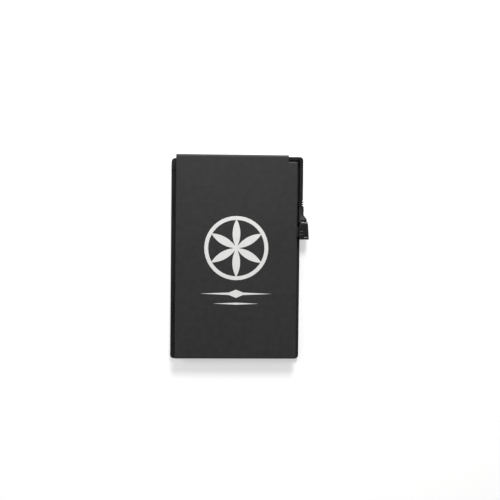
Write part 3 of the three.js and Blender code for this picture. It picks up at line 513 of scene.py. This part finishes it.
def plastic(name, light, dark, grain, smooth, rough, bump, marks=0.4, dust=0.0, specular=0.5):
    """Moulded plastic, soft coating or rubber with its grain, polished patches and a little dust."""
    material, tree, shader = blank(name)
    skin = placed_group(
        tree, GRAIN, -300, 100, Light_Colour=light, Dark_Colour=dark, Grain=grain, Smooth=smooth, Rough=rough
    )
    worn = placed_group(tree, MARKS, -300, -200, Amount=marks)
    less = sum_of(tree, 0, -200, "MULTIPLY", worn.outputs["Mask"], 0.12)
    gloss = sum_of(tree, 180, -100, "SUBTRACT", skin.outputs["Roughness"], less)
    wire(tree, gloss, shader.inputs["Roughness"])
    colour = skin.outputs["Colour"]
    if dust:
        specks = placed_group(tree, DUST, -300, 350, Amount=dust)
        colour = colour_mix(tree, 100, 250, specks.outputs["Mask"], colour, (0.25, 0.25, 0.25))
    wire(tree, colour, shader.inputs["Base Color"])
    shader.inputs["Specular IOR Level"].default_value = specular
    bumped(tree, shader, skin.outputs["Height"], 0.6, bump)
    return material


def metal(name, light, dark, smooth, rough, bump):
    """Bright metal with fine drawn lines."""
    material, tree, shader = blank(name)
    skin = placed_group(
        tree, LINES, -300, 100, Light_Colour=light, Dark_Colour=dark, Smooth=smooth, Rough=rough
    )
    wire(tree, skin.outputs["Colour"], shader.inputs["Base Color"])
    wire(tree, skin.outputs["Roughness"], shader.inputs["Roughness"])
    shader.inputs["Metallic"].default_value = 1.0
    bumped(tree, shader, skin.outputs["Height"], 0.4, bump)
    return material


def cellular(name, light, dark, scale, rough, bump):
    """Foam with open cells."""
    material, tree, shader = blank(name)
    place = node(tree, "ShaderNodeTexCoord", -700, 0).outputs["Object"]
    cells = node(tree, "ShaderNodeTexVoronoi", -450, 0)
    cells.inputs["Scale"].default_value = scale
    wire(tree, place, cells.inputs["Vector"])
    tone = ranged(tree, -200, 0, cells.outputs["Distance"], 0.1, 0.6)
    wire(tree, colour_mix(tree, 100, 150, tone.outputs["Result"], dark, light), shader.inputs["Base Color"])
    shader.inputs["Roughness"].default_value = rough
    bumped(tree, shader, cells.outputs["Distance"], 0.8, bump)
    return material


def foil(name, light, dark):
    """Pouch foil with soft dents and a fine crinkle."""
    material, tree, shader = blank(name)
    place = node(tree, "ShaderNodeTexCoord", -900, 0).outputs["Object"]
    dents = noise(tree, -600, 200, place, detail=2.0)
    dents.inputs["Scale"].default_value = 90.0
    crinkle = noise(tree, -600, -100, place, detail=5.0, rough=0.7, distortion=0.8)
    crinkle.inputs["Scale"].default_value = 420.0
    height = sum_of(tree, -300, 0, "MULTIPLY_ADD", crinkle.outputs["Fac"], 0.3)
    wire(tree, dents.outputs["Fac"], height.node.inputs[2])
    tone = ranged(tree, -100, 200, crinkle.outputs["Fac"], 0.3, 0.7)
    wire(tree, colour_mix(tree, 200, 200, tone.outputs["Result"], dark, light), shader.inputs["Base Color"])
    gloss = ranged(tree, 200, -100, crinkle.outputs["Fac"], 0.3, 0.7, 0.28, 0.45)
    wire(tree, gloss.outputs["Result"], shader.inputs["Roughness"])
    shader.inputs["Metallic"].default_value = 1.0
    bumped(tree, shader, height, 0.5, 0.25)
    return material


def laminate(name, light, dark):
    """Board with a satin lacquer over straight copper tracks."""
    material, tree, shader = blank(name)
    place = node(tree, "ShaderNodeTexCoord", -900, 0).outputs["Object"]
    tracks = node(tree, "ShaderNodeTexBrick", -600, 100)
    tracks.inputs["Color1"].default_value = (*light, 1.0)
    tracks.inputs["Color2"].default_value = (*light, 1.0)
    tracks.inputs["Mortar"].default_value = (*dark, 1.0)
    tracks.inputs["Scale"].default_value = 260.0
    tracks.inputs["Mortar Size"].default_value = 0.06
    tracks.inputs["Brick Width"].default_value = 1.6
    wire(tree, place, tracks.inputs["Vector"])
    weave = noise(tree, -600, -250, place, detail=2.0)
    weave.inputs["Scale"].default_value = 2500.0
    tone = ranged(tree, -300, -250, weave.outputs["Fac"], 0.3, 0.7, 0.0, 0.35)
    wire(
        tree,
        colour_mix(tree, 100, 150, tone.outputs["Result"], tracks.outputs["Color"], dark),
        shader.inputs["Base Color"],
    )
    gloss = ranged(tree, 100, -100, weave.outputs["Fac"], 0.3, 0.7, 0.3, 0.42)
    wire(tree, gloss.outputs["Result"], shader.inputs["Roughness"])
    bumped(tree, shader, tracks.outputs["Fac"], 0.5, 0.03)
    return material


def clear(name):
    """Clear light guide with a faint cloud in it."""
    material, tree, shader = blank(name)
    place = node(tree, "ShaderNodeTexCoord", -700, 0).outputs["Object"]
    cloud = noise(tree, -450, 0, place, detail=3.0)
    cloud.inputs["Scale"].default_value = 700.0
    tone = ranged(tree, -200, 0, cloud.outputs["Fac"], 0.3, 0.7)
    wire(
        tree,
        colour_mix(tree, 100, 150, tone.outputs["Result"], (0.78, 0.80, 0.81), (0.9, 0.91, 0.92)),
        shader.inputs["Base Color"],
    )
    gloss = ranged(tree, 100, -100, cloud.outputs["Fac"], 0.3, 0.7, 0.12, 0.2)
    wire(tree, gloss.outputs["Result"], shader.inputs["Roughness"])
    shader.inputs["Transmission Weight"].default_value = 0.6
    shader.inputs["IOR"].default_value = 1.49
    return material


materials = {
    "housing": plastic(
        "Soft matte coating", (0.031, 0.031, 0.0315), (0.022, 0.022, 0.0228), 2600.0, 0.46, 0.56, 0.030,
        marks=0.5, dust=0.25, specular=0.32,
    ),
    "tray": plastic(
        "Black tray", (0.021, 0.021, 0.022), (0.015, 0.015, 0.016), 2200.0, 0.44, 0.56, 0.016,
        dust=0.3, specular=0.3,
    ),
    "pad": plastic(
        "Adhesive pad", (0.034, 0.034, 0.036), (0.026, 0.026, 0.028), 900.0, 0.7, 0.85, 0.05, marks=0.0
    ),
    "tape": plastic(
        "Bond tape", (0.034, 0.034, 0.036), (0.026, 0.026, 0.028), 1500.0, 0.7, 0.85, 0.03, marks=0.0
    ),
    "print": plastic(
        "White ink", (0.89, 0.89, 0.88), (0.82, 0.82, 0.81), 3600.0, 0.42, 0.55, 0.010, marks=0.2
    ),
    "lead": plastic(
        "Lead sheath", (0.009, 0.009, 0.010), (0.006, 0.006, 0.007), 3000.0, 0.30, 0.40, 0.010,
        dust=0.3, specular=0.36,
    ),
    "cap": plastic(
        "Satin black", (0.010, 0.010, 0.011), (0.007, 0.007, 0.009), 2800.0, 0.30, 0.42, 0.012,
        dust=0.3, specular=0.32,
    ),
    "contact_carrier": plastic(
        "Contact carrier", (0.024, 0.024, 0.026), (0.016, 0.016, 0.018), 2600.0, 0.5, 0.6, 0.01
    ),
    "chip": plastic(
        "Chip body", (0.012, 0.012, 0.013), (0.008, 0.008, 0.009), 4000.0, 0.45, 0.6, 0.012, marks=0.0
    ),
    "ferrite": plastic(
        "Ferrite", (0.085, 0.085, 0.09), (0.055, 0.055, 0.06), 3400.0, 0.55, 0.75, 0.03, marks=0.0
    ),
    "capacitor": plastic(
        "Ceramic body", (0.45, 0.30, 0.16), (0.34, 0.22, 0.11), 3000.0, 0.35, 0.5, 0.01, marks=0.0
    ),
    "led": plastic("Lamp body", (0.88, 0.86, 0.74), (0.80, 0.78, 0.64), 2500.0, 0.25, 0.4, 0.01, marks=0.0),
    "steel": metal("Plated steel", (0.22, 0.225, 0.23), (0.16, 0.165, 0.17), 0.36, 0.48, 0.003),
    "nickel": metal("Nickel strip", (0.62, 0.61, 0.57), (0.48, 0.47, 0.44), 0.25, 0.4, 0.006),
    "foam": cellular("Cell foam", (0.055, 0.055, 0.058), (0.02, 0.02, 0.022), 1800.0, 0.9, 0.12),
    "cell_foil": foil("Pouch foil", (0.52, 0.53, 0.55), (0.38, 0.39, 0.41)),
    "board": laminate("Board lacquer", (0.016, 0.125, 0.055), (0.009, 0.075, 0.032)),
    "clear_guide": clear("Clear guide"),
}


def dressed(piece, slot):
    """Gives a piece its one material."""
    piece.data.materials.clear()
    piece.data.materials.append(materials[slot])


# Pieces that keep the solids' shape and get rounded edges

REFINED = (
    ("adhesive_pad", "Adhesive pad", "holder", "pad", 0.15, 2),
    ("pocket_tray", "Card tray", "holder", "tray", 0.14, 3),
    ("rear_shell", "Rear shell", "holder", "housing", 0.10, 3),
    ("front_cover", "Front cover", "holder", "housing", 0.12, 3),
    ("input_socket", "Input socket", "holder", "steel", 0.08, 2),
    ("socket_tongue", "Socket tongue", "holder", "contact_carrier", 0.08, 2),
    ("light_guide", "Light guide", "holder", "clear_guide", 0.08, 2),
    ("power_button", "Power button", "button", "cap", 0.12, 3),
    ("plug_contacts", "Plug contacts", "holder", "contact_carrier", 0.08, 2),
)

for solid, name, body, slot, width, segments in REFINED:
    piece = refined(solid, name.replace(" ", "_"), width, segments)
    dressed(piece, slot)
    placed(piece, body, [solid])


# Charging lead: one flat strip that leaves the notch, is folded at the corner and runs down to the plug

def charging_lead():
    """The strip by extrusion, with its corner cut and its long edges rounded."""
    lead = block(
        "Charging_lead", (LEAD_LEFT, NECK_TOP, LEAD_LOW), (LEAD_RIGHT, LEAD_BOTTOM - FOLD_LENGTH, LEAD_HIGH)
    )
    edit(lead)
    pick(lead, "FACE", lambda place, normal: normal.y > 0.9)
    pull(y=FOLD_LENGTH)
    pull(y=LEAD_TOP - LEAD_BOTTOM)
    pick(lead, "FACE", lambda place, normal: normal.x < -0.9 and place.y > LEAD_BOTTOM)
    pull(x=LEAD_START - LEAD_LEFT)
    pick_upright(lead, LEAD_RIGHT, LEAD_TOP)
    rounded(ELBOW_CUT, 2, profile=0.35)
    pick_upright(lead, LEAD_LEFT, LEAD_BOTTOM)
    rounded(ELBOW_ROUND, 3)
    close()
    softened(lead, LEAD_ROUND, 4, 40.0)
    smoothed(lead, 40.0)
    return lead


def fold_ridge():
    """The fold on the front of the strip: a gentle slope up to a crease, highest at the corner."""
    left = LEAD_LEFT + FOLD_INSET
    right = left + FOLD_WIDTH
    top_y = LEAD_BOTTOM + FOLD_ABOVE
    foot_y = top_y - FOLD_LENGTH
    crest_z = LEAD_HIGH + FOLD_RISE
    ridge = block("Lead_fold", (left, foot_y, LEAD_HIGH - FOLD_SUNK), (right, top_y, crest_z))
    edit(ridge)
    pick_lengthwise(ridge, left, crest_z)
    shift(z=-FOLD_RISE)
    pick(ridge, "FACE", lambda place, normal: normal.y > 0.9)
    pull(x=FOLD_TURN_X, y=FOLD_TURN_Y)
    pick(ridge, "VERT", lambda place: near(place.z, crest_z) and near(place.y, foot_y))
    shift(z=-FOLD_RISE - FOLD_FOOT_SUNK)
    close()
    softened(ridge, FOLD_ROUND, 2, 30.0)
    smoothed(ridge, 30.0)
    return ridge


def lead_collar():
    """The moulded collar that holds the strip behind the notch wall."""
    collar = block(
        "Lead_collar", (COLLAR_LEFT, COLLAR_BOTTOM, COLLAR_LOW), (COLLAR_RIGHT, COLLAR_TOP, COLLAR_HIGH)
    )
    softened(collar, COLLAR_ROUND, 2)
    smoothed(collar)
    return collar


def joined_piece(first, *others):
    """Joins finished pieces into the first."""
    bpy.ops.object.select_all(action="DESELECT")
    for piece in (first, *others):
        piece.select_set(True)
    bpy.context.view_layer.objects.active = first
    bpy.ops.object.join()
    return first


lead = joined_piece(charging_lead(), fold_ridge(), lead_collar())
dressed(lead, "lead")
placed(lead, "holder", ["charging_lead"])


# Plug grip: ribbed neck, straight body, flare and flange, pulled down section by section

def grip_section(now, then, depth):
    """Extrudes the lower end to the next section; a section is left, right, low and high."""
    pull(y=-depth)
    width, height = now[1] - now[0], now[3] - now[2]
    middle = ((now[0] + now[1]) / 2, 0.0, (now[2] + now[3]) / 2)
    scaled(((then[1] - then[0]) / width, 1.0, (then[3] - then[2]) / height), middle)
    shift(x=(then[0] + then[1] - now[0] - now[1]) / 2, z=(then[2] + then[3] - now[2] - now[3]) / 2)


def swollen(section, amount):
    """A section with each side moved outwards."""
    return (section[0] - amount, section[1] + amount, section[2] - amount, section[3] + amount)


def plug_grip():
    """The grip, pulled down from its neck: leaning ribs, straight body, flare, flange and boot."""
    neck = (LEAD_LEFT, LEAD_RIGHT, LEAD_LOW, LEAD_HIGH)
    rib = swollen(neck, RIB_DEPTH)
    dip = swollen(neck, -DIP_DEPTH)
    body = (LEAD_LEFT, GRIP_RIGHT, GRIP_LOW, GRIP_HIGH)
    flange = (LEAD_LEFT, FLANGE_RIGHT, FLANGE_LOW, FLANGE_HIGH)
    boot = (BOOT_LEFT, BOOT_RIGHT, BOOT_LOW, BOOT_HIGH)
    middle = (LEAD_LEFT + LEAD_RIGHT) / 2
    first_y = NECK_TOP - NECK_START
    grip = block("Plug_grip", (neck[0], first_y, neck[2]), (neck[1], NECK_TOP, neck[3]))
    edit(grip)
    pick(grip, "EDGE", lambda place, way: abs(way.y) > 0.9 and (place.x > middle or place.z < LEAD_LOW + 1))
    rounded(GRIP_ROUND, 4)
    pick_lengthwise(grip, LEAD_LEFT, LEAD_HIGH)
    rounded(STRIP_WIDTH, 1)
    pick_lengthwise(grip, LEAD_LEFT, LEAD_HIGH - STRIP_WIDTH)
    shift(z=STRIP_WIDTH - STRIP_DROP)
    pick(grip, "FACE", lambda place, normal: normal.y < -0.9)
    pitch = NECK_LENGTH / NECK_RIBS
    grip_section(neck, dip, RIB_SLOPE)
    for number in range(NECK_RIBS):
        last = dip if number < NECK_RIBS - 1 else neck
        grip_section(dip, rib, RIB_SLOPE)
        if number == 0:
            lean(RIB_LEAN, middle, first_y - 2 * RIB_SLOPE)
        grip_section(rib, rib, pitch - 2 * RIB_SLOPE - RIB_LOWER_SLOPE)
        grip_section(rib, last, RIB_LOWER_SLOPE)
        if number < NECK_RIBS - 1:
            grip_section(dip, dip, RIB_SLOPE)
    lean(-RIB_LEAN, middle, NECK_TOP - NECK_LENGTH)
    grip_section(neck, body, RIB_SLOPE)
    grip_section(body, body, NECK_TOP - NECK_LENGTH - RIB_SLOPE - FLARE_START)
    grip_section(body, flange, FLARE_START - FLANGE_START)
    grip_section(flange, flange, FLANGE_START - GRIP_END)
    grip_section(flange, boot, FLANGE_STEP)
    grip_section(boot, boot, BOOT_DEPTH)
    close()
    softened(grip, GRIP_EDGE, 2, 25.0)
    smoothed(grip, 40.0)
    return grip


grip = plug_grip()
dressed(grip, "lead")
placed(grip, "holder", ["plug_grip"])


# Plug sleeve: the solid's tube, with its root ring a little shorter and rounded on the outside

def plug_sleeve():
    """The steel sleeve with its bright ring."""
    sleeve = bpy.data.objects.new("Plug_sleeve", nodes["plug_sleeve"].data.copy())
    bpy.context.scene.collection.objects.link(sleeve)
    merged(sleeve)
    edit(sleeve)
    pick(
        sleeve,
        "VERT",
        lambda place: near(place.y, RING_TOP)
        and (place.x < BOOT_LEFT or place.x > BOOT_RIGHT or place.z < BOOT_LOW or place.z > BOOT_HIGH),
    )
    shift(y=-RING_SHORTER)
    top = RING_TOP - RING_SHORTER
    pick(
        sleeve,
        "EDGE",
        lambda place, way: abs(way.y) < 0.1
        and (near(place.y, top) or near(place.y, RING_BOTTOM))
        and (place.x < BORE_LEFT or place.x > BORE_RIGHT or place.z < BORE_LOW or place.z > BORE_HIGH),
    )
    rounded(RING_ROUND, 4)
    close()
    softened(sleeve, SLEEVE_EDGE, 2, 40.0)
    smoothed(sleeve)
    return sleeve


sleeve = plug_sleeve()
dressed(sleeve, "steel")
placed(sleeve, "holder", ["plug_sleeve"])


# Plug cap: a hollow box that widens downwards, with a raised front panel

def cap_shell():
    """The cap's body with its bore and the groove that holds on the rail."""
    cap = block("Plug_cap", (CAP_LEFT, CAP_END, CAP_LOW), (CAP_RIGHT, CAP_TOP, CAP_HIGH))
    edit(cap)
    pick_upright(cap, CAP_RIGHT, CAP_TOP)
    shift(x=-CAP_TAPER)
    pick(cap, "EDGE", lambda place, way: abs(way.y) > 0.9)
    rounded(CAP_ROUND, 3)
    pick(cap, "FACE", lambda place, normal: normal.y > 0.9)
    bpy.ops.mesh.inset(thickness=CAP_RIM * MM)
    wide = CAP_RIGHT - CAP_TAPER - CAP_LEFT - 2 * CAP_RIM
    tall = CAP_HIGH - CAP_LOW - 2 * CAP_RIM
    middle = ((CAP_LEFT + CAP_RIGHT - CAP_TAPER) / 2, CAP_TOP, PLUG_Z)
    scaled(((BORE_RIGHT - BORE_LEFT) / wide, 1.0, (BORE_HIGH - BORE_LOW) / tall), middle)
    shift(x=PLUG_X - middle[0])
    pull(y=-BORE_DEPTH)
    pick(cap, "FACE", lambda place, normal: normal.x < -0.99 and near(place.x, CAP_LEFT))
    bpy.ops.mesh.inset(thickness=GROOVE_INSET * MM)
    height = CAP_HIGH - CAP_LOW - 2 * CAP_ROUND - 2 * GROOVE_INSET
    length = CAP_TOP - CAP_END - 2 * GROOVE_INSET
    side = (CAP_LEFT, (CAP_END + CAP_TOP) / 2, PLUG_Z)
    scaled((1.0, (GROOVE_TOP - GROOVE_BOTTOM) / length, (GROOVE_HIGH - GROOVE_LOW) / height), side)
    pull(x=GROOVE_DEPTH)
    close()
    softened(cap, CAP_EDGE, 3, 28.0)
    smoothed(cap, 40.0)
    return cap


def small_block(name, low, high, edge):
    """A small raised block with soft edges."""
    made = block(name, low, high)
    softened(made, edge, 3)
    smoothed(made)
    return made


def cap_studs():
    """Four bright studs beside the panel, modelled once and copied."""
    x, y = STUD_XS[0], STUD_YS[0]
    first = small_block(
        "Cap_studs",
        (x - STUD_LENGTH / 2, y - STUD_WIDTH / 2, SUNK_TO),
        (x + STUD_LENGTH / 2, y + STUD_WIDTH / 2, FRONT_TOP),
        STUD_ROUND,
    )
    studs = [first]
    for place_x in STUD_XS:
        for place_y in STUD_YS:
            if (place_x, place_y) != (x, y):
                copy = bpy.data.objects.new("Stud", first.data.copy())
                bpy.context.scene.collection.objects.link(copy)
                copy.data.transform(Matrix.Translation(((place_x - x) * MM, (place_y - y) * MM, 0.0)))
                studs.append(copy)
    return joined_piece(*studs)


panel = small_block(
    "Cap_panel", (PANEL_LEFT, PANEL_LOW_Y, SUNK_TO), (PANEL_RIGHT, PANEL_HIGH_Y, PANEL_FRONT), PANEL_ROUND
)
cap = joined_piece(cap_shell(), panel)
dressed(cap, "cap")
placed(cap, "holder", ["plug_cap"])

studs = cap_studs()
dressed(studs, "steel")
placed(studs, "holder", [])

lip = small_block(
    "Cap_lip", (LIP_LEFT, LIP_LOW_Y, SUNK_TO), (LIP_RIGHT, LIP_HIGH_Y, FRONT_TOP), LIP_ROUND
)
dressed(lip, "steel")
placed(lip, "holder", [])


# The solids that show as they are get the finish of their slot

for part in frame["record"]["subparts"]:
    solid = nodes[part["node"]]
    if not solid.hide_render:
        dressed(solid, part["material_slot"])


# Floor, lamps and surroundings

FLOOR_SIZE = 6.0
FLOOR_COLOUR = (0.93, 0.93, 0.925)
FLOOR_PALER = (0.942, 0.942, 0.937)
FLOOR_BELOW = 0.02
FLOOR_LIFT = 0.42
ROOM_LIGHT = 0.2
ROOM_SHOWN = 0.95


def seen_directly(tree, y):
    """Whether a ray comes from the camera, straight or through a clear part."""
    path = node(tree, "ShaderNodeLightPath", -700, y)
    straight, through = path.outputs["Is Camera Ray"], path.outputs["Is Transmission Ray"]
    return sum_of(tree, -450, y, "MAXIMUM", straight, through)


def floor():
    """Wide pale floor just under the holder."""
    bpy.ops.object.select_all(action="DESELECT")
    bpy.ops.mesh.primitive_plane_add(size=FLOOR_SIZE, location=(0.0, 0.0, -FLOOR_BELOW * MM))
    ground = bpy.context.active_object
    ground.name = "Floor"
    bpy.ops.object.transform_apply(location=True, rotation=True, scale=True)
    material, tree, shader = blank("Pale paper")
    place = node(tree, "ShaderNodeTexCoord", -700, 0).outputs["Object"]
    fibre = noise(tree, -450, 0, place, detail=4.0)
    fibre.inputs["Scale"].default_value = 900.0
    tone = ranged(tree, -200, 0, fibre.outputs["Fac"], 0.3, 0.7)
    wire(
        tree,
        colour_mix(tree, 100, 150, tone.outputs["Result"], FLOOR_COLOUR, FLOOR_PALER),
        shader.inputs["Base Color"],
    )
    shader.inputs["Roughness"].default_value = 0.9
    shader.inputs["Specular IOR Level"].default_value = 0.1
    lift = sum_of(tree, -200, -400, "MULTIPLY", seen_directly(tree, -400), FLOOR_LIFT)
    shader.inputs["Emission Color"].default_value = (1.0, 1.0, 1.0, 1.0)
    wire(tree, lift, shader.inputs["Emission Strength"])
    ground.data.materials.append(material)


def lamp(name, place, size, power):
    """Square soft lamp at a place in metres, aimed at the middle of the holder."""
    light = bpy.data.lights.new(name, "AREA")
    light.shape = "SQUARE"
    light.size = size
    light.energy = power
    stand = bpy.data.objects.new(name, light)
    bpy.context.scene.collection.objects.link(stand)
    stand.location = place
    stand.rotation_euler = (-Vector(place)).to_track_quat("-Z", "Y").to_euler()


def surroundings():
    """Even pale surroundings, brighter to the camera than to the holder."""
    world = bpy.data.worlds.new("Pale room")
    bpy.context.scene.world = world
    world.use_nodes = True
    tree = world.node_tree
    sky = tree.nodes["Background"]
    level = ranged(tree, -200, 0, seen_directly(tree, 0), 0.0, 1.0, ROOM_LIGHT, ROOM_SHOWN)
    wire(tree, level.outputs["Result"], sky.inputs["Strength"])
    sky.inputs["Color"].default_value = (1.0, 1.0, 1.0, 1.0)


def camera():
    """Camera over the holder, at the picture's angle and framing."""
    made = bpy.data.cameras.new("Camera")
    made.lens = CAMERA_LENS
    made.sensor_width = CAMERA_SENSOR
    made.sensor_fit = "HORIZONTAL"
    made.clip_start = 0.01
    stand = bpy.data.objects.new("Camera", made)
    bpy.context.scene.collection.objects.link(stand)
    about_x, about_y, roll = (math.radians(turn) for turn in CAMERA_TURNS)
    tilted = Matrix.Rotation(about_y, 3, "Y") @ Matrix.Rotation(about_x, 3, "X")
    turned = Matrix.Rotation(roll, 3, "Z") @ tilted
    aside = Vector((-CAMERA_ASIDE[0], -CAMERA_ASIDE[1], CAMERA_DISTANCE)) * MM
    back = turned.transposed()
    stand.matrix_world = Matrix.Translation(back @ aside) @ back.to_4x4()
    bpy.context.scene.camera = stand


floor()
lamp("Key lamp", (0.03, 0.28, 0.38), size=0.12, power=1.05)
lamp("Low lamp", (0.04, 0.36, 0.10), size=0.20, power=0.75)
lamp("Side lamp", (-0.26, 0.10, 0.48), size=0.12, power=0.45)
lamp("Fill lamp", (0.35, -0.25, 0.70), size=0.6, power=0.3)
surroundings()
camera()
bpy.context.scene.view_settings.view_transform = "Standard"
